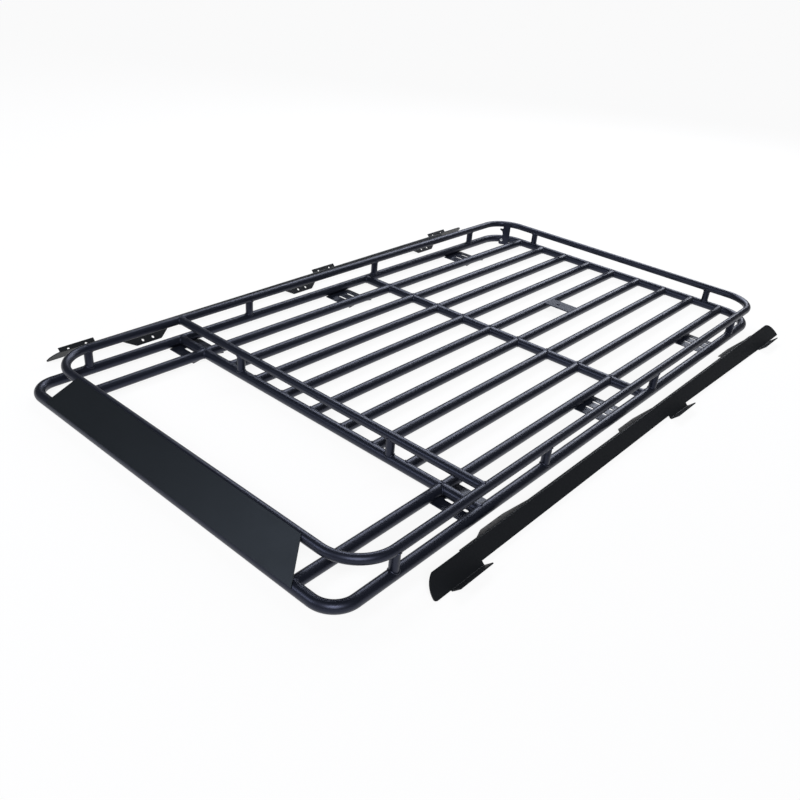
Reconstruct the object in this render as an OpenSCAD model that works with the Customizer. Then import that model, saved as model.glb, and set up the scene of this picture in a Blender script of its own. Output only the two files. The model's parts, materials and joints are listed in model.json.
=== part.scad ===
// Steel roof basket with a wind deflector, and its two side rails lying beside it.
// +Z is up, the deflector faces -Y, and the origin is on the floor under the middle of the whole part's
// box. The left rail lies further out than the right one, so the basket stands a little towards +X.
// The solids are drawn as full bars where the real ones are tube.

/* [Basket frame] */
// Overall length of the lower loop
basket_l = 2214; // [1800:1:2400]
// Overall width of the lower loop
basket_w = 1190; // [1180:1:1320]
// Outside diameter of the lower loop's tube
lower_d = 30; // [26:0.5:36]
// Outside diameter of the upper loop's tube
upper_d = 25; // [18:0.5:30]
// Height from the lower tube's centre line to the upper one's
loop_rise = 66; // [55:1:140]
// Bend radius of the loops' corners, on the centre line
corner_r = 108; // [80:1:112]
// Bend radius of the lower loop's front corners, on the centre line
front_corner_r = 62; // [50:1:110]
// How far the upper front tube stands behind the lower one
front_setback = 64; // [40:1:110]

/* [Floor] */
// Distance from the outermost slats' centre lines to the side tubes'
side_bay = 120; // [100:1:140]
// Outside diameter of the slats and the middle cross tube
slat_d = 30; // [20:0.5:30]
// Distance from the front tube's centre line to the middle cross tube's
mid_y = 1313; // [1180:1:1420]

/* [Bulkhead] */
// Distance from the front tube's centre line to the bulkhead's
bulkhead_y = 481; // [300:1:560]
// Distance between the bulkhead's two posts
bulkhead_post_gap = 580; // [300:1:800]

/* [Posts] */
// Outside diameter of the posts between the loops
post_d = 24; // [14:0.5:25]
// Distance from the front tube's centre line to the first post
post_1_y = 173; // [150:1:250]
// Distance from the front tube's centre line to the second post
post_2_y = 749; // [650:1:850]
// Distance from the front tube's centre line to the third post
post_3_y = 1355; // [1200:1:1450]
// Distance from the rear tube's centre line to the last post
post_4_rear = 227; // [180:1:400]
// Distance between the two posts at the rear
rear_post_gap = 788; // [400:1:900]

/* [Wind deflector] */
// Width of the deflector along its upper edge
deflector_top_w = 852; // [600:1:900]
// Width of the deflector along its lower edge
deflector_low_w = 950; // [700:1:980]
// Thickness of the deflector's sheet
deflector_t = 2; // [1:0.1:4]
// How far the sheet reaches past the line where it touches each tube
deflector_lap = 3; // [0:0.5:8]

/* [Mounting plates] */
// Length of a mounting plate along the basket
plate_l = 112; // [100:1:160]
// Length of the flat pad in the middle of a plate
pad_l = 64; // [56:1:90]
// How far the ends of a plate slope down from its pad
plate_drop = 4; // [0:0.5:10]
// Thickness of the mounting plates
plate_t = 3; // [2:0.5:6]
// Distance from the front tube's centre line to the front plates' middle
plate_1_y = 493; // [440:1:560]
// Distance from the front tube's centre line to the middle plates' middle
plate_2_y = 1160; // [1050:1:1240]
// Distance from the front tube's centre line to the rear plates' middle
plate_3_y = 1849; // [1600:1:1900]
// Length of the slots in the mounting plates
slot_l = 70; // [40:1:74]
// Width of the slots
slot_w = 11; // [6:0.5:14]
// Distance between a plate's two slots
slot_gap = 40; // [30:1:41]
// How far the slots' middle sits in from the plate's
slot_shift = 5; // [0:0.5:6]

/* [Bridge plate] */
// Length of the small plate along the basket
bridge_l = 58; // [40:1:90]
// Thickness of the small plate
bridge_t = 4; // [3:0.5:6]
// How far its upper face sits below the tops of the slats
bridge_sink = 1; // [0.5:0.5:6]
// Distance from the middle cross tube's centre line to the small plate's middle
bridge_y = 363; // [100:1:420]
// Diameter of the hole in the small plate
bridge_hole_d = 12; // [6:0.5:20]
// How far the hole sits in front of the plate's middle
bridge_hole_fore = 5; // [0:1:12]
// Distance from the left one of the two slats' centre lines to the hole
bridge_hole_x = 49; // [30:1:75]
// Diameter of the boss under the hole
boss_d = 23; // [21:0.5:30]
// Height of the boss
boss_h = 6; // [2:0.5:8]

/* [Corner bracket] */
// Angle of the bracket round the rear left bend, from the rear tube
bracket_angle = 33; // [20:1:60]
// Width of the bracket between the loops
bracket_w = 31; // [24:1:40]
// Thickness of the bracket
bracket_t = 10; // [8:0.5:14]
// Height of the hook's upper edge above the lower tube's centre line
hook_top = 48; // [36:0.5:55]
// Width of the hook at its tip
hook_t = 4.5; // [3:0.5:8]
// Radius of the notch under the hook
notch_r = 13; // [8:0.5:14]
// Width of the lug over the lower tube
lug_w = 44; // [42:0.5:50]
// How far the lug reaches below the lower tube's centre line
lug_drop = 20; // [10:0.5:21]
// How far the lug reaches above the lower tube's centre line
lug_rise = 16; // [12:0.5:20]
// Radius of the lug's corners
lug_r = 8; // [4:0.5:10]
// Diameter of the hole in the lug
lug_hole_d = 10; // [5:0.5:12]

/* [Side rails] */
// Length of a side rail
rail_l = 1987; // [1750:1:2100]
// Thickness of the side rails' sheet
rail_t = 3; // [2:0.5:4]
// Outside radius of the sheet's bends
rail_bend_r = 5; // [4.5:0.5:8]
// Height of the web over its bends
web_h = 58; // [50:1:75]
// How far the web's lower edge stands above the feet between the first two
web_relief = 13; // [6:0.5:16]
// How far it stands above them at both ends of the rail
nose_relief = 3.5; // [3.5:0.5:10]
// How far the rounded front end's upper corner stands behind its lower one
nose_front = 29; // [8:1:50]
// How far the rounded rear end's upper corner stands in front of its lower one
nose_rear = 48; // [8:1:50]
// Radius of the front end's lower corner
nose_corner = 8; // [4:0.5:16]
// Width of the lip along the web's upper edge
lip_w = 12; // [8:0.5:20]
// Distance from the rail's front end to the lip's
lip_front = 134; // [80:1:150]
// Distance from the lip's rear end to the rail's
lip_rear = 173; // [150:1:200]
// Reach of the tabs from the web
tab_w = 52; // [40:0.5:60]
// Length of a tab at its edge
tab_l = 88; // [70:1:110]
// How far each end of a tab slopes
tab_slope = 72; // [30:1:100]
// Radius of a tab's outer corners
tab_corner = 10; // [4:0.5:16]
// Diameter of the holes in the tabs and feet
rail_hole_d = 9; // [5:0.5:11]
// Distance between the two holes of a tab
tab_hole_gap = 36; // [24:1:50]
// Reach of the feet from the web
foot_w = 31; // [28:0.5:50]
// Length of a foot
foot_l = 114; // [90:1:130]
// Distance between the two holes of a foot
foot_hole_gap = 57; // [30:1:70]
// Distance from the holes' centres to the edge of their tab or foot
hole_edge = 12; // [8:0.5:14]
// Distance from the rail's front end to the first foot
foot_1_y = 52; // [30:1:60]
// How far the second foot's middle sits behind the rail's
foot_2_back = 153; // [100:1:190]
// Distance from the last foot to the rail's rear end
foot_3_rear = 74; // [50:1:120]
// Distance from the rail's front end to the first tab's edge
tab_1_y = 255; // [234:1:300]
// How far the second tab's middle sits in front of the rail's
tab_2_fore = 40; // [0:1:100]
// Distance from the last tab's edge to the rail's rear end
tab_3_rear = 276; // [276:1:320]

/* [Where the side rails lie] */
// Gap on the floor between the basket and the left rail's front end
left_gap = 63; // [10:1:150]
// Gap on the floor between the basket and the right rail's front end
right_gap = 12; // [5:1:150]
// Angle by which the left rail points away from the basket
left_turn = 0.8; // [0:0.1:2]
// Angle by which the right rail points away from the basket
right_turn = 0.2; // [0:0.1:2]
// Distance from the front tube's centre line back to the left rail's front end
left_start = 121; // [60:1:220]
// Distance from the front tube's centre line back to the right rail's front end
right_start = 190; // [60:1:220]

/* [Hidden] */
$fn = 64;
LEFT = -1;
RIGHT = 1;
cut = 1;
slat_n = 9;
arc_steps = 8;
weld_bite = 0.5;
lower_r = lower_d / 2;
upper_r = upper_d / 2;
slat_r = slat_d / 2;
post_r = post_d / 2;
side_x = basket_w / 2 - lower_r;
rear_y = basket_l / 2 - lower_r;
front_y = -rear_y;
upper_front_y = front_y + front_setback;
pad_z = plate_drop + plate_t;
low_z = pad_z + lower_r;
high_z = low_z + loop_rise;
slat_z = pad_z + slat_r;
outer_slat = side_x - side_bay;
slat_pitch = 2 * outer_slat / (slat_n - 1);
bulk_y = front_y + bulkhead_y;
cross_y = front_y + mid_y;
post_y = [post_1_y, post_2_y, post_3_y, rear_y - front_y - post_4_rear];
plate_y = [plate_1_y, plate_2_y, plate_3_y];
bridge_z = slat_z + slat_r - bridge_sink;
bridge_hole = [bridge_hole_x, cross_y + bridge_y - bridge_hole_fore, bridge_z - bridge_t - boss_h];
foot_y = [foot_1_y, (rail_l - foot_l) / 2 + foot_2_back, rail_l - foot_3_rear - foot_l];
tab_y = [tab_1_y, (rail_l - tab_l) / 2 - tab_2_fore, rail_l - tab_3_rear - tab_l];
feet_end = rail_l - foot_3_rear;
flange_h = web_h - rail_t;
lip_l = rail_l - lip_front - lip_rear;
// The rail rests on its tabs' edges and on the round bends over its feet, which sets its lean.
lay_x = tab_w + rail_bend_r;
lay_z = flange_h - rail_bend_r;
lay = atan2(lay_z, lay_x) + asin(rail_bend_r / norm([lay_x, lay_z]));
rail_w = (tab_w + foot_w) * cos(lay) + flange_h * sin(lay);
left_reach = left_gap + rail_w * cos(left_turn) + feet_end * sin(left_turn);
right_reach = right_gap + rail_w * cos(right_turn) + feet_end * sin(right_turn);
basket_x = (left_reach - right_reach) / 2;
steel = "#2b2e33";

// A round bar from point a to point b.
module bar(a, b, r) {
    d = b - a;
    len = norm(d);
    translate(a)
        rotate([0, acos(d[2] / len), atan2(d[1], d[0])])
            cylinder(r = r, h = len);
}

// The bent corner of a loop, in the quarter that sx and sy name, with the bend radius b.
module bend(x, y, z, sx, sy, r, b) {
    translate([sx * (x - b), y - sy * b, z])
        rotate([0, 0, sx > 0 ? (sy > 0 ? 0 : 270) : (sy > 0 ? 90 : 180)])
            rotate_extrude(angle = 90)
                translate([b, 0])
                    circle(r = r);
}

// One end of a loop: the straight across and both bends.
module bow(y, z, sy, r, b) {
    run = side_x - b;
    bar([-run, y, z], [run, y, z], r);
    bend(side_x, y, z, LEFT, sy, r, b);
    bend(side_x, y, z, RIGHT, sy, r, b);
}

// A straight side of a loop, between its two bows.
module side(sx, y_front, z, r) {
    bar([sx * side_x, y_front, z], [sx * side_x, rear_y - corner_r, z], r);
}

module lower_front_bow() color(steel) bow(front_y, low_z, -1, lower_r, front_corner_r);
module lower_rear_bow() color(steel) bow(rear_y, low_z, 1, lower_r, corner_r);
module lower_left_rail() color(steel) side(LEFT, front_y + front_corner_r, low_z, lower_r);
module lower_right_rail() color(steel) side(RIGHT, front_y + front_corner_r, low_z, lower_r);
module upper_front_bow() color(steel) bow(upper_front_y, high_z, -1, upper_r, corner_r);
module upper_rear_bow() color(steel) bow(rear_y, high_z, 1, upper_r, corner_r);
module upper_left_rail() color(steel) side(LEFT, upper_front_y + corner_r, high_z, upper_r);
module upper_right_rail() color(steel) side(RIGHT, upper_front_y + corner_r, high_z, upper_r);

// The space that the two side tubes of a loop take up, for coping what meets them.
module side_tubes(z, r) {
    for (s = [LEFT, RIGHT])
        bar([s * side_x, front_y, z], [s * side_x, rear_y, z], r);
}

// A tube across the basket, coped to the side tubes.
module cross_tube(y, z, r, side_z, side_r) {
    difference() {
        bar([-side_x, y, z], [side_x, y, z], r);
        side_tubes(side_z, side_r);
    }
}

module bulkhead_lower_tube() color(steel) cross_tube(bulk_y, low_z, lower_r, low_z, lower_r);
module bulkhead_upper_tube() color(steel) cross_tube(bulk_y, high_z, upper_r, high_z, upper_r);
module middle_cross_tube() color(steel) cross_tube(cross_y, slat_z, slat_r, low_z, lower_r);

// The tubes that the slats are cut and coped against.
module slat_copes() {
    for (y = [front_y, bulk_y, rear_y])
        bar([-side_x, y, low_z], [side_x, y, low_z], lower_r);
    bar([-side_x, cross_y, slat_z], [side_x, cross_y, slat_z], slat_r);
}

// A floor slat: only the outermost two run on through the front bay.
module slat(i) {
    x = (i - (slat_n + 1) / 2) * slat_pitch;
    start = i == 1 || i == slat_n ? front_y : bulk_y;
    color(steel)
        difference() {
            bar([x, start, slat_z], [x, rear_y, slat_z], slat_r);
            slat_copes();
        }
}

// A post between the loops, coped to the tube below and the tube above.
module post(p) {
    color(steel)
        difference() {
            bar([p[0], p[1], low_z], [p[0], p[1], high_z], post_r);
            post_copes(p);
        }
}

// Both tubes at a post, along the loop's side or across the basket.
module post_copes(p) {
    way = abs(p[0]) == side_x ? [0, post_d, 0] : [post_d, 0, 0];
    foot = [p[0], p[1], low_z];
    head = [p[0], p[1], high_z];
    bar(foot - way, foot + way, lower_r);
    bar(head - way, head + way, upper_r);
}

// The sheet in front, flat against the lower and upper front tubes.
module wind_deflector() {
    run = norm([front_setback, loop_rise]);
    lean = atan2(loop_rise, front_setback) - asin((lower_r - upper_r) / run);
    touch = sqrt(run * run - pow(lower_r - upper_r, 2));
    color(steel)
        translate([0, front_y, low_z])
            rotate([lean, 0, 0])
                translate([0, 0, lower_r])
                    linear_extrude(height = deflector_t)
                        polygon([
                            [-deflector_low_w / 2, -deflector_lap],
                            [deflector_low_w / 2, -deflector_lap],
                            [deflector_top_w / 2, touch + deflector_lap],
                            [-deflector_top_w / 2, touch + deflector_lap]]);
}

// A flat slot with round ends, along X.
module slot(l, w, h) {
    for (s = [-1, 1])
        translate([s * (l - w) / 2, 0, 0])
            cylinder(d = w, h = h);
    translate([-(l - w) / 2, -w / 2, 0])
        cube([l - w, w, h]);
}

// A slotted plate under a side tube and the slat beside it, pressed so that its pad stands up.
module mount_plate(s, i) {
    color(steel)
        translate([s * (side_x - side_bay / 2), front_y + plate_y[i - 1], 0])
            difference() {
                translate([-side_bay / 2, 0, 0])
                    rotate([90, 0, 90])
                        linear_extrude(height = side_bay)
                            plate_profile();
                for (e = [-1, 1])
                    translate([-s * slot_shift, e * slot_gap / 2, plate_drop - cut])
                        slot(slot_l, slot_w, plate_t + 2 * cut);
            }
}

// A mounting plate seen from the side: the pad and its two sloping ends.
module plate_profile() {
    under = [[-plate_l / 2, 0], [-pad_l / 2, plate_drop], [pad_l / 2, plate_drop], [plate_l / 2, 0]];
    over = [for (i = [3 : -1 : 0]) under[i] + [0, plate_t]];
    polygon(concat(under, over));
}

// The small drilled plate between the two middle slats, coped to both.
module bridge_plate() {
    color(steel)
        difference() {
            union() {
                translate([0, cross_y + bridge_y - bridge_l / 2, bridge_z - bridge_t])
                    cube([slat_pitch, bridge_l, bridge_t]);
                translate(bridge_hole)
                    cylinder(d = boss_d, h = boss_h + cut);
            }
            translate(bridge_hole - [0, 0, cut])
                cylinder(d = bridge_hole_d, h = bridge_t + boss_h + 2 * cut);
            for (x = [0, slat_pitch])
                bar([x, cross_y, slat_z], [x, rear_y, slat_z], slat_r);
        }
}

// The notched plate that joins the loops inside the rear left corner, coped to both bends.
module corner_bracket() {
    color(steel)
        difference() {
            translate([corner_r - side_x, rear_y - corner_r, low_z])
                rotate([90, 0, bracket_angle])
                    translate([0, 0, upper_r - corner_r - weld_bite])
                        linear_extrude(height = bracket_t)
                            bracket_outline();
            bend(side_x, rear_y, low_z, LEFT, 1, lower_r, corner_r);
            bend(side_x, rear_y, high_z, LEFT, 1, upper_r, corner_r);
            bar([0, rear_y, low_z], [-side_x, rear_y, low_z], lower_r);
        }
}

// The bracket seen from inside the basket: a hook and a round notch on one side, a drilled lug below.
module bracket_outline() {
    edge = -bracket_w / 2;
    hole_in = lug_w / 4;
    difference() {
        union() {
            translate([edge, 0])
                square([bracket_w, loop_rise + upper_r]);
            translate([edge - notch_r, hook_top - hook_t - notch_r])
                square([notch_r + cut, notch_r + hook_t]);
            translate([-edge - lug_w, -lug_drop])
                rounded(lug_w, lug_drop + lug_rise, lug_r);
        }
        translate([edge - notch_r - cut, hook_top - hook_t - notch_r])
            circle(r = notch_r);
        translate([hole_in - edge - lug_w, 0])
            circle(d = lug_hole_d);
    }
}

// A rectangle with rounded corners.
module rounded(w, h, r) {
    translate([r, 0])
        square([w - 2 * r, h]);
    translate([0, r])
        square([w, h - 2 * r]);
    for (x = [r, w - r], y = [r, h - r])
        translate([x, y])
            circle(r = r);
}

// Points along an arc that leaves [0, z] upright and leans back by n over a height of h.
function nose(z, h, n) =
    let (r = (h * h + n * n) / (2 * n), lean = atan2(h, r - n))
    [for (i = [1 : arc_steps]) let (a = lean * i / arc_steps) [r - r * cos(a), z + r * sin(a)]];

function unit(v) = v / norm(v);

// Points round the corner at p between straight edges to a and b, from the first edge to the second.
function round_corner(a, p, b, r) =
    let (u = unit(a - p), v = unit(b - p), half = acos(u * v) / 2,
        middle = p + unit(u + v) * r / sin(half),
        start = p + u * r / tan(half) - middle,
        sweep = (2 * half - 180) * sign(cross(u, v)))
    [for (i = [0 : arc_steps]) let (t = sweep * i / arc_steps)
        middle + [start[0] * cos(t) - start[1] * sin(t), start[0] * sin(t) + start[1] * cos(t)]];

// A rail's flat web, upright, with its front end at y = 0.
module rail_web() {
    corner_z = nose_relief + nose_corner;
    corner = round_corner([rail_l, nose_relief], [0, nose_relief], [0, web_h], nose_corner);
    front = nose(corner_z, web_h - corner_z, nose_front);
    back = nose(nose_relief, web_h - nose_relief, nose_rear);
    rear = [for (i = [arc_steps - 1 : -1 : 0]) [rail_l - back[i][0], back[i][1]]];
    rotate([90, 0, 90])
        linear_extrude(height = rail_t)
            difference() {
                polygon(concat(corner, front, rear, [[rail_l, nose_relief]]));
                translate([foot_y[0] + foot_l, -cut])
                    square([foot_y[1] - foot_y[0] - foot_l, web_relief + cut]);
                polygon([
                    [foot_y[1] + foot_l, -cut],
                    [foot_y[2], -cut],
                    [foot_y[2], nose_relief],
                    [foot_y[1] + foot_l, web_relief]]);
                for (y = foot_y)
                    translate([y, -cut])
                        square([foot_l, rail_bend_r + cut]);
                translate([lip_front, web_h - rail_bend_r])
                    square([lip_l, rail_bend_r + cut]);
            }
}

// A bent edge of the sheet, seen along the rail: a quarter bend and a flange of width w.
module flange_profile(w) {
    translate([rail_bend_r, 0])
        square([w - rail_bend_r, rail_t]);
    translate([rail_bend_r, rail_bend_r])
        difference() {
            intersection() {
                circle(r = rail_bend_r);
                translate([-rail_bend_r, -rail_bend_r])
                    square(rail_bend_r);
            }
            circle(r = rail_bend_r - rail_t);
        }
}

// A flange of the rail with its bend, from y = 0 to y = l.
module flange(w, l) {
    translate([0, l, 0])
        rotate([90, 0, 0])
            linear_extrude(height = l)
                flange_profile(w);
}

// Two holes through a tab or foot, at the distance x from the web and gap apart.
module hole_pair(x, y, gap) {
    for (e = [-1, 1])
        translate([x, y + e * gap / 2, -cut])
            cylinder(d = rail_hole_d, h = rail_t + 2 * cut);
}

// A drilled trapezoid tab on the lip, with rounded outer corners.
module rail_tab(y) {
    root = rail_t - rail_bend_r;
    roots = [[root, -tab_slope], [root, tab_l + tab_slope]];
    tips = [[-tab_w, 0], [-tab_w, tab_l]];
    rear_corner = round_corner(roots[1], tips[1], tips[0], tab_corner);
    front_corner = round_corner(tips[1], tips[0], roots[0], tab_corner);
    translate([0, y, flange_h])
        difference() {
            linear_extrude(height = rail_t)
                polygon(concat(roots, rear_corner, front_corner));
            hole_pair(hole_edge - tab_w, tab_l / 2, tab_hole_gap);
        }
}

// A drilled foot on the web's lower edge.
module rail_foot(y) {
    translate([0, y, 0])
        difference() {
            flange(foot_w, foot_l);
            hole_pair(foot_w - hole_edge, foot_l / 2, foot_hole_gap);
        }
}

// A whole side rail, upright.
module rail_sheet() {
    rail_web();
    translate([rail_t, lip_front, web_h])
        rotate([0, 180, 0])
            flange(lip_w + rail_t, lip_l);
    for (y = tab_y)
        rail_tab(y);
    for (y = foot_y)
        rail_foot(y);
}

// The rail tipped over, the way it lies on the floor beside the basket.
module laid_rail(s, start, gap, turn) {
    color(steel)
        translate([s * (basket_w / 2 + gap), front_y + start, 0])
            mirror([s == LEFT ? 1 : 0, 0, 0])
                rotate([0, 0, -turn])
                    translate([tab_w * cos(lay), 0, tab_w * sin(lay)])
                        rotate([0, -lay, 0])
                            translate([0, 0, -flange_h])
                                rail_sheet();
}

module left_side_rail() laid_rail(LEFT, left_start, left_gap, left_turn);
module right_side_rail() laid_rail(RIGHT, right_start, right_gap, right_turn);

// Everything stands where the middle of the whole part's box is over the origin.
module placed() translate([basket_x, 0, 0]) children();

placed() lower_front_bow();
placed() lower_rear_bow();
placed() lower_left_rail();
placed() lower_right_rail();
placed() upper_front_bow();
placed() upper_rear_bow();
placed() upper_left_rail();
placed() upper_right_rail();
placed() bulkhead_lower_tube();
placed() bulkhead_upper_tube();
placed() middle_cross_tube();
placed() slat(1);  // slat_1
placed() slat(2);  // slat_2
placed() slat(3);  // slat_3
placed() slat(4);  // slat_4
placed() slat(5);  // slat_5
placed() slat(6);  // slat_6
placed() slat(7);  // slat_7
placed() slat(8);  // slat_8
placed() slat(9);  // slat_9
placed() post([-side_x, front_y + post_y[0]]);  // left_post_1
placed() post([-side_x, front_y + post_y[1]]);  // left_post_2
placed() post([-side_x, front_y + post_y[2]]);  // left_post_3
placed() post([-side_x, front_y + post_y[3]]);  // left_post_4
placed() post([side_x, front_y + post_y[0]]);  // right_post_1
placed() post([side_x, front_y + post_y[1]]);  // right_post_2
placed() post([side_x, front_y + post_y[2]]);  // right_post_3
placed() post([side_x, front_y + post_y[3]]);  // right_post_4
placed() post([-rear_post_gap / 2, rear_y]);  // rear_left_post
placed() post([rear_post_gap / 2, rear_y]);  // rear_right_post
placed() post([-bulkhead_post_gap / 2, bulk_y]);  // bulkhead_left_post
placed() post([bulkhead_post_gap / 2, bulk_y]);  // bulkhead_right_post
placed() mount_plate(LEFT, 1);  // left_mount_plate_1
placed() mount_plate(LEFT, 2);  // left_mount_plate_2
placed() mount_plate(LEFT, 3);  // left_mount_plate_3
placed() mount_plate(RIGHT, 1);  // right_mount_plate_1
placed() mount_plate(RIGHT, 2);  // right_mount_plate_2
placed() mount_plate(RIGHT, 3);  // right_mount_plate_3
placed() bridge_plate();
placed() corner_bracket();
placed() wind_deflector();
placed() left_side_rail();
placed() right_side_rail();
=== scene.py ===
"""Looks for the steel roof basket: powder coat, weld beads, a bolt, floor, soft light and camera."""
import json

import bpy
from math import radians
from mathutils import Matrix, Vector


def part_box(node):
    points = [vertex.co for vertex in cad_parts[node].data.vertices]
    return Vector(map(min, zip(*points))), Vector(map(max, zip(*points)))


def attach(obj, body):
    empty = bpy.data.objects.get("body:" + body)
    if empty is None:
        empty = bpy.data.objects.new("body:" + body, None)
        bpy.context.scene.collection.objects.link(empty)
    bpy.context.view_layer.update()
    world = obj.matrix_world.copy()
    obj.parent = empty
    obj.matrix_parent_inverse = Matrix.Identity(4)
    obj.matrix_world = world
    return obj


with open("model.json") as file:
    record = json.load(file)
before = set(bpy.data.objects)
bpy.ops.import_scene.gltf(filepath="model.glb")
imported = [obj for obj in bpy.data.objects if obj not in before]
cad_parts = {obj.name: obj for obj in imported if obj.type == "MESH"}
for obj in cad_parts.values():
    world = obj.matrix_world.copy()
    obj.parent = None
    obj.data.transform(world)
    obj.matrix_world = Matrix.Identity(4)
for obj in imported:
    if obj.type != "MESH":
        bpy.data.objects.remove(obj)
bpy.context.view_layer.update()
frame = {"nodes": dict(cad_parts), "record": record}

# The view of the photograph, fitted to the crossings of the tubes, in metres and degrees.
CAMERA_AT = (1.39031, -1.9165, 1.1621)
CAMERA_TURN, CAMERA_TILT, CAMERA_ROLL = 38.743, 60.084, 5.424
LENS_MM, SENSOR_MM = 36.306, 36.0

MM = 0.001
X, Y, Z = Vector((1, 0, 0)), Vector((0, 1, 0)), Vector((0, 0, 1))

# The radii of the tubes, as in the part's source.
LOWER_R, SLAT_R, UPPER_R, POST_R = 0.015, 0.015, 0.0125, 0.012

# A weld bead's own radius and its points round the tube. Where two tubes are equally thick, its ring is
# a little narrower than they are, because it would miss the tube below at both sides.
BEAD_R = 0.0024
BEAD_STEPS = 40
RING_LIMIT = 0.985

# The middle of the hole in the corner bracket's lug, and the bracket's angle round the bend.
LUG_HOLE = (-0.4980, 1.0466, 0.022)
BRACKET_ANGLE = 33.0

# Real orange peel is about 1 mm across, drawn at 3 mm so that it shows at all. The patches are where
# the powder has flowed out a little more or less.
PEEL_MM, PEEL_DEPTH_MM, PEEL_STRENGTH = 3.0, 0.2, 0.20
PATCH_MM, PATCH_SPREAD = 80, 0.05

# The share of the floor that is plain white to the camera. The rest takes the basket's shadow.
FLOOR_WHITE = 0.89
FLOOR_SIZE, FLOOR_GAP = 200, 0.2 * MM

# The camera sees the world as plain white. This is how much of that lights the basket.
WORLD_LIGHT = 0.12
LAMP_COLOUR = (0.92, 0.95, 1.0)
FILL_FROM = Vector((2.8, -2.6, 3.8))


# ---- Materials ----


def srgb(code):
    """An sRGB hex colour as linear red, green, blue and alpha."""
    parts = [int(code[i:i + 2], 16) / 255 for i in (1, 3, 5)]
    return [p / 12.92 if p <= 0.04045 else ((p + 0.055) / 1.055) ** 2.4 for p in parts] + [1.0]


def add_node(tree, kind, settings=None, links=None):
    """A node with its settings by name, and links from other nodes' outputs into its inputs."""
    made = tree.nodes.new(kind)
    for name, value in (settings or {}).items():
        if name in made.inputs:
            made.inputs[name].default_value = value
        else:
            setattr(made, name, value)
    for name, source in (links or {}).items():
        tree.links.new(source, made.inputs[name])
    return made


def powder_coat(name, colour, sheen, roughness, specular):
    """Polyester powder, sprayed on and baked: a satin skin with fine orange peel and a cold sheen."""
    material = bpy.data.materials.new(name)
    material.use_nodes = True
    tree = material.node_tree
    shader = tree.nodes["Principled BSDF"]
    shader.inputs["Base Color"].default_value = srgb(colour)
    shader.inputs["Metallic"].default_value = 0.0
    shader.inputs["Specular IOR Level"].default_value = specular
    shader.inputs["Specular Tint"].default_value = srgb(sheen)
    place = add_node(tree, "ShaderNodeTexCoord")
    peel = add_node(tree, "ShaderNodeTexNoise", {"Scale": 1 / (PEEL_MM * MM), "Detail": 2.0},
                    {"Vector": place.outputs["Object"]})
    patch = add_node(tree, "ShaderNodeTexNoise", {"Scale": 1 / (PATCH_MM * MM), "Detail": 3.0},
                     {"Vector": place.outputs["Object"]})
    rough = add_node(tree, "ShaderNodeMapRange",
                     {"To Min": roughness - PATCH_SPREAD, "To Max": roughness + PATCH_SPREAD},
                     {"Value": patch.outputs["Fac"]})
    skin = add_node(tree, "ShaderNodeBump", {"Strength": PEEL_STRENGTH, "Distance": PEEL_DEPTH_MM * MM},
                    {"Height": peel.outputs["Fac"]})
    tree.links.new(rough.outputs["Result"], shader.inputs["Roughness"])
    tree.links.new(skin.outputs["Normal"], shader.inputs["Normal"])
    return material


tube_coat = powder_coat("powder_coat_on_tube", "#0d1018", "#cfd7ff", 0.38, 0.50)
plate_coat = powder_coat("powder_coat_on_plate", "#161922", "#d8e0ff", 0.38, 0.42)
sheet_coat = powder_coat("powder_coat_on_sheet", "#0d1013", "#dcebff", 0.42, 0.30)
rail_coat = powder_coat("powder_coat_on_rail", "#121417", "#f0f4ff", 0.50, 0.20)
# The small plate is in grey primer, paler and duller than the coat round it.
bridge_paint = powder_coat("grey_primer_on_bridge_plate", "#2d303a", "#dce4ff", 0.50, 0.24)

# Bright zinc on a rolled bolt: pale metal with soft highlights and clouds about 2 mm across.
zinc = bpy.data.materials.new("zinc_plated_steel")
zinc.use_nodes = True
zinc_tree = zinc.node_tree
zinc_shader = zinc_tree.nodes["Principled BSDF"]
zinc_shader.inputs["Base Color"].default_value = srgb("#cfd2d6")
zinc_shader.inputs["Metallic"].default_value = 1.0
zinc_place = add_node(zinc_tree, "ShaderNodeTexCoord")
clouds = add_node(zinc_tree, "ShaderNodeTexNoise", {"Scale": 1 / (2 * MM), "Detail": 3.0},
                  {"Vector": zinc_place.outputs["Object"]})
cloudy = add_node(zinc_tree, "ShaderNodeMapRange", {"To Min": 0.24, "To Max": 0.40},
                  {"Value": clouds.outputs["Fac"]})
zinc_tree.links.new(cloudy.outputs["Result"], zinc_shader.inputs["Roughness"])

COATS = {"tube_steel": tube_coat, "plate_steel": plate_coat, "bridge_steel": bridge_paint,
         "deflector_sheet": sheet_coat, "rail_sheet": rail_coat}
for part in frame["record"]["subparts"]:
    for place in frame["nodes"][part["node"]].material_slots:
        place.material = COATS[part["material_slot"]]


# ---- Weld beads ----


def clear_selection():
    bpy.ops.object.select_all(action="DESELECT")


def pick(*objects):
    """Selects these alone, with the first one active."""
    clear_selection()
    for one in objects:
        one.select_set(True)
    bpy.context.view_layer.objects.active = objects[0]


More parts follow.
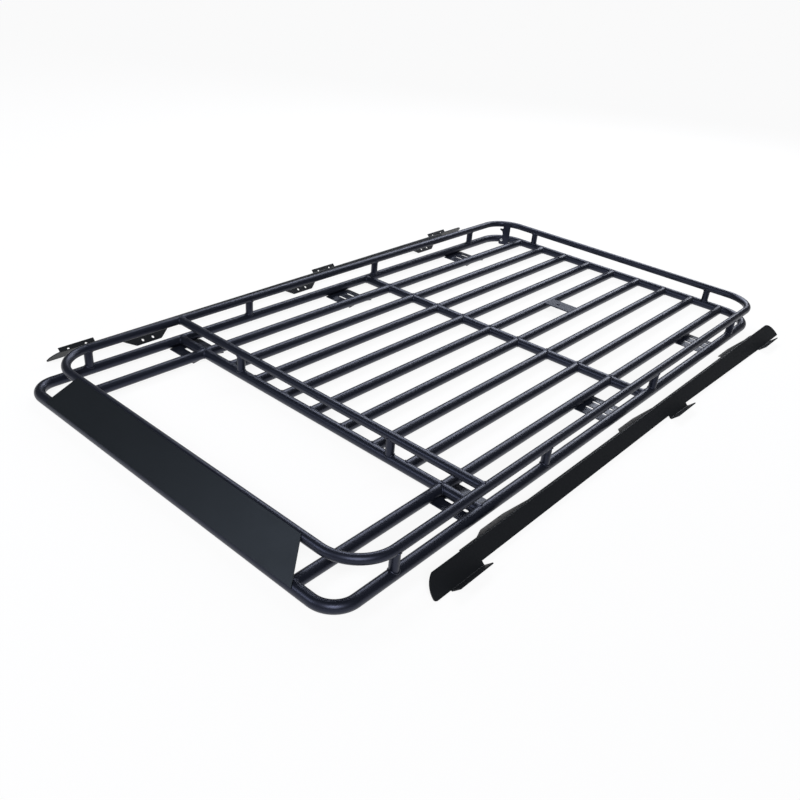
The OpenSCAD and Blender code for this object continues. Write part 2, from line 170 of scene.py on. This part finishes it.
def bead(name, branch_r, main_r):
    """The weld where a tube along Z is coped to a tube along X, made once for each pair of sizes."""
    clear_selection()
    bpy.ops.mesh.primitive_cylinder_add(vertices=96, radius=main_r, depth=6 * main_r,
                                        rotation=(0, radians(90), 0))
    main = bpy.context.object
    ring_r = min(branch_r, RING_LIMIT * main_r)
    bpy.ops.mesh.primitive_circle_add(vertices=BEAD_STEPS, radius=ring_r, location=(0, 0, 2 * main_r))
    ring = bpy.context.object
    ring.name = name
    bpy.ops.object.transform_apply(location=True, rotation=True, scale=True)
    wrap = ring.modifiers.new("onto_tube", "SHRINKWRAP")
    wrap.target = main
    wrap.wrap_method = "PROJECT"
    wrap.use_project_z = True
    wrap.use_negative_direction = True
    wrap.use_positive_direction = False
    bpy.ops.object.modifier_apply(modifier=wrap.name)
    bpy.data.objects.remove(main)
    pick(ring)
    bpy.ops.object.convert(target="CURVE")
    ring.data.bevel_depth = BEAD_R
    ring.data.bevel_resolution = 2
    bpy.ops.object.convert(target="MESH")
    return ring


def laid_bead(pattern, at, out, along):
    """A copy of a bead at a point, where a tube leaves in the direction out from one that runs along."""
    pick(pattern)
    bpy.ops.object.duplicate()
    copy = bpy.context.object
    side = out.cross(along)
    turn = Matrix((along, side, out)).transposed().to_4x4()
    copy.matrix_world = Matrix.Translation(at) @ turn
    bpy.ops.object.transform_apply(location=True, rotation=True, scale=True)
    return copy


def joined(name, beads):
    """One piece from many beads, with its faces outwards, riding on the basket."""
    pick(*beads)
    bpy.ops.object.join()
    piece = bpy.context.object
    piece.name = name
    piece.data.name = name
    bpy.ops.object.mode_set(mode="EDIT")
    bpy.ops.mesh.select_all(action="SELECT")
    bpy.ops.mesh.normals_make_consistent(inside=False)
    bpy.ops.object.mode_set(mode="OBJECT")
    bpy.ops.object.shade_smooth()
    piece.data.materials.clear()
    piece.data.materials.append(tube_coat)
    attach(piece, "root")


def middle(node):
    """The middle of a CAD node's box."""
    low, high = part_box(node)
    return (Vector(low) + Vector(high)) / 2


slat_bead = bead("slat_bead", SLAT_R, LOWER_R)
low_post_bead = bead("low_post_bead", POST_R, LOWER_R)
high_post_bead = bead("high_post_bead", POST_R, UPPER_R)
high_cross_bead = bead("high_cross_bead", UPPER_R, UPPER_R)

LEFT_X, RIGHT_X = middle("lower_left_rail").x, middle("lower_right_rail").x
LOW_Z, HIGH_Z = middle("lower_left_rail").z, middle("upper_left_rail").z
FRONT_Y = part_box("lower_front_bow")[0][1] + LOWER_R
REAR_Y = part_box("lower_rear_bow")[1][1] - LOWER_R
BULK_Y, CROSS_Y = middle("bulkhead_lower_tube").y, middle("middle_cross_tube").y

slat_beads = []
for number in range(1, 10):
    x = middle(f"slat_{number}").x
    stops = [(BULK_Y, Y), (CROSS_Y, -Y), (CROSS_Y, Y), (REAR_Y, -Y)]
    if number in (1, 9):
        stops += [(FRONT_Y, Y), (BULK_Y, -Y)]
    slat_beads += [laid_bead(slat_bead, (x, y, LOW_Z), out, X) for y, out in stops]
joined("slat_welds", slat_beads)

cross_beads = []
for x, out in ((LEFT_X, X), (RIGHT_X, -X)):
    cross_beads += [laid_bead(slat_bead, (x, y, LOW_Z), out, Y) for y in (BULK_Y, CROSS_Y)]
    cross_beads.append(laid_bead(high_cross_bead, (x, BULK_Y, HIGH_Z), out, Y))
joined("cross_tube_welds", cross_beads)

post_beads = []
side_posts = [f"{side}_post_{number}" for side in ("left", "right") for number in range(1, 5)]
cross_posts = ["rear_left_post", "rear_right_post", "bulkhead_left_post", "bulkhead_right_post"]
for posts, along in ((side_posts, Y), (cross_posts, X)):
    for post in posts:
        x, y, _ = middle(post)
        post_beads.append(laid_bead(low_post_bead, (x, y, LOW_Z), Z, along))
        post_beads.append(laid_bead(high_post_bead, (x, y, HIGH_Z), -Z, along))
joined("post_welds", post_beads)

for pattern in (slat_bead, low_post_bead, high_post_bead, high_cross_bead):
    bpy.data.objects.remove(pattern)


# ---- The bolt in the corner bracket ----


def bolt(name, at, angle):
    """The head and washer of an M6 bolt, its corners worn round, with its axis level."""
    head_r, head_h, washer_r, washer_h = 5.8 * MM, 4.0 * MM, 6.0 * MM, 1.2 * MM
    clear_selection()
    bpy.ops.mesh.primitive_cylinder_add(vertices=6, radius=head_r, depth=head_h,
                                        location=(0, 0, washer_h + head_h / 2))
    head = bpy.context.object
    bpy.ops.mesh.primitive_cylinder_add(vertices=32, radius=washer_r, depth=washer_h,
                                        location=(0, 0, washer_h / 2))
    washer = bpy.context.object
    for one, width in ((head, 0.8 * MM), (washer, 0.3 * MM)):
        pick(one)
        bpy.ops.object.transform_apply(location=True, rotation=True, scale=True)
        soft = one.modifiers.new("worn_edges", "BEVEL")
        soft.width = width
        soft.segments = 2
        bpy.ops.object.modifier_apply(modifier=soft.name)
    pick(head, washer)
    bpy.ops.object.join()
    head.name = head.data.name = name
    head.matrix_world = (Matrix.Translation(at) @ Matrix.Rotation(radians(angle), 4, "Z")
                         @ Matrix.Rotation(radians(90), 4, "X"))
    bpy.ops.object.transform_apply(location=True, rotation=True, scale=True)
    bpy.ops.object.shade_smooth_by_angle(angle=radians(35))
    head.data.materials.append(zinc)
    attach(head, "root")


bolt("bracket_bolt", LUG_HOLE, BRACKET_ANGLE)


# ---- Floor, light and camera ----


def studio_white(tree, surface, white_share):
    """Mixes a lit surface with plain white, for what the camera and reflections see."""
    path = add_node(tree, "ShaderNodeLightPath")
    seen = path.outputs["Is Camera Ray"]
    for ray in ("Is Glossy Ray", "Is Transmission Ray"):
        either = add_node(tree, "ShaderNodeMath", {"operation": "MAXIMUM"})
        tree.links.new(seen, either.inputs[0])
        tree.links.new(path.outputs[ray], either.inputs[1])
        seen = either.outputs[0]
    share = add_node(tree, "ShaderNodeMath", {"operation": "MULTIPLY"})
    tree.links.new(seen, share.inputs[0])
    share.inputs[1].default_value = white_share
    white = add_node(tree, "ShaderNodeEmission", {"Color": (1, 1, 1, 1), "Strength": 1.0})
    mix = add_node(tree, "ShaderNodeMixShader")
    tree.links.new(share.outputs[0], mix.inputs[0])
    tree.links.new(surface, mix.inputs[1])
    tree.links.new(white.outputs[0], mix.inputs[2])
    return mix.outputs[0]


# Matt white paint, so that the floor shows no reflection of the basket.
floor_paint = bpy.data.materials.new("white_floor")
floor_paint.use_nodes = True
floor_tree = floor_paint.node_tree
floor_shader = floor_tree.nodes["Principled BSDF"]
floor_shader.inputs["Base Color"].default_value = srgb("#f4f4f8")
floor_shader.inputs["Roughness"].default_value = 0.9
floor_tree.links.new(studio_white(floor_tree, floor_shader.outputs[0], FLOOR_WHITE),
                     floor_tree.nodes["Material Output"].inputs["Surface"])
clear_selection()
bpy.ops.mesh.primitive_plane_add(size=FLOOR_SIZE, location=(0, 0, -FLOOR_GAP))
floor = bpy.context.object
floor.name = "floor"
floor.data.materials.append(floor_paint)

world = bpy.data.worlds.new("studio")
bpy.context.scene.world = world
world.use_nodes = True
sky = world.node_tree
path = add_node(sky, "ShaderNodeLightPath")
level = add_node(sky, "ShaderNodeMapRange", {"To Min": WORLD_LIGHT, "To Max": 1.0},
                 {"Value": path.outputs["Is Camera Ray"]})
sky.nodes["Background"].inputs["Color"].default_value = (1, 1, 1, 1)
sky.links.new(level.outputs["Result"], sky.nodes["Background"].inputs["Strength"])


def softbox(name, at, along, size, power):
    """A rectangular lamp that faces the basket, with its long side along the direction given."""
    back = Vector(at).normalized()
    side = (Vector(along) - back * back.dot(Vector(along))).normalized()
    clear_selection()
    bpy.ops.object.light_add(type="AREA")
    lamp = bpy.context.object
    lamp.name = name
    lamp.data.shape = "RECTANGLE"
    lamp.data.size, lamp.data.size_y = size
    lamp.data.energy = power
    lamp.data.color = LAMP_COLOUR
    turn = Matrix((side, back.cross(side), back)).transposed().to_4x4()
    lamp.matrix_world = Matrix.Translation(at) @ turn


# A long slanted strip draws the thin bright line along the tubes, and a box over the front lights the
# deflector and the cross tubes.
softbox("behind_left", (-1.65, 2.75, 2.55), (0.55, 0.78, -0.29), (4.6, 1.2), 120)
softbox("front_left", (-1.2, -3.9, 2.3), (1.0, -0.3, 0.0), (1.6, 1.2), 42)

# A wide, even fill from the camera's side, too soft to leave a highlight.
clear_selection()
bpy.ops.object.light_add(type="SUN", location=FILL_FROM)
fill = bpy.context.object
fill.name = "front_right"
fill.data.energy = 2.5
fill.data.angle = radians(30)
fill.rotation_euler = (-FILL_FROM).to_track_quat("-Z", "Y").to_euler()

clear_selection()
bpy.ops.object.camera_add()
camera = bpy.context.object
camera.data.lens = LENS_MM
camera.data.sensor_width = SENSOR_MM
camera.matrix_world = (Matrix.Translation(CAMERA_AT)
                       @ Matrix.Rotation(radians(CAMERA_TURN), 4, "Z")
                       @ Matrix.Rotation(radians(CAMERA_TILT), 4, "X")
                       @ Matrix.Rotation(radians(CAMERA_ROLL), 4, "Z"))
bpy.context.scene.camera = camera
bpy.context.scene.view_settings.view_transform = "Standard"
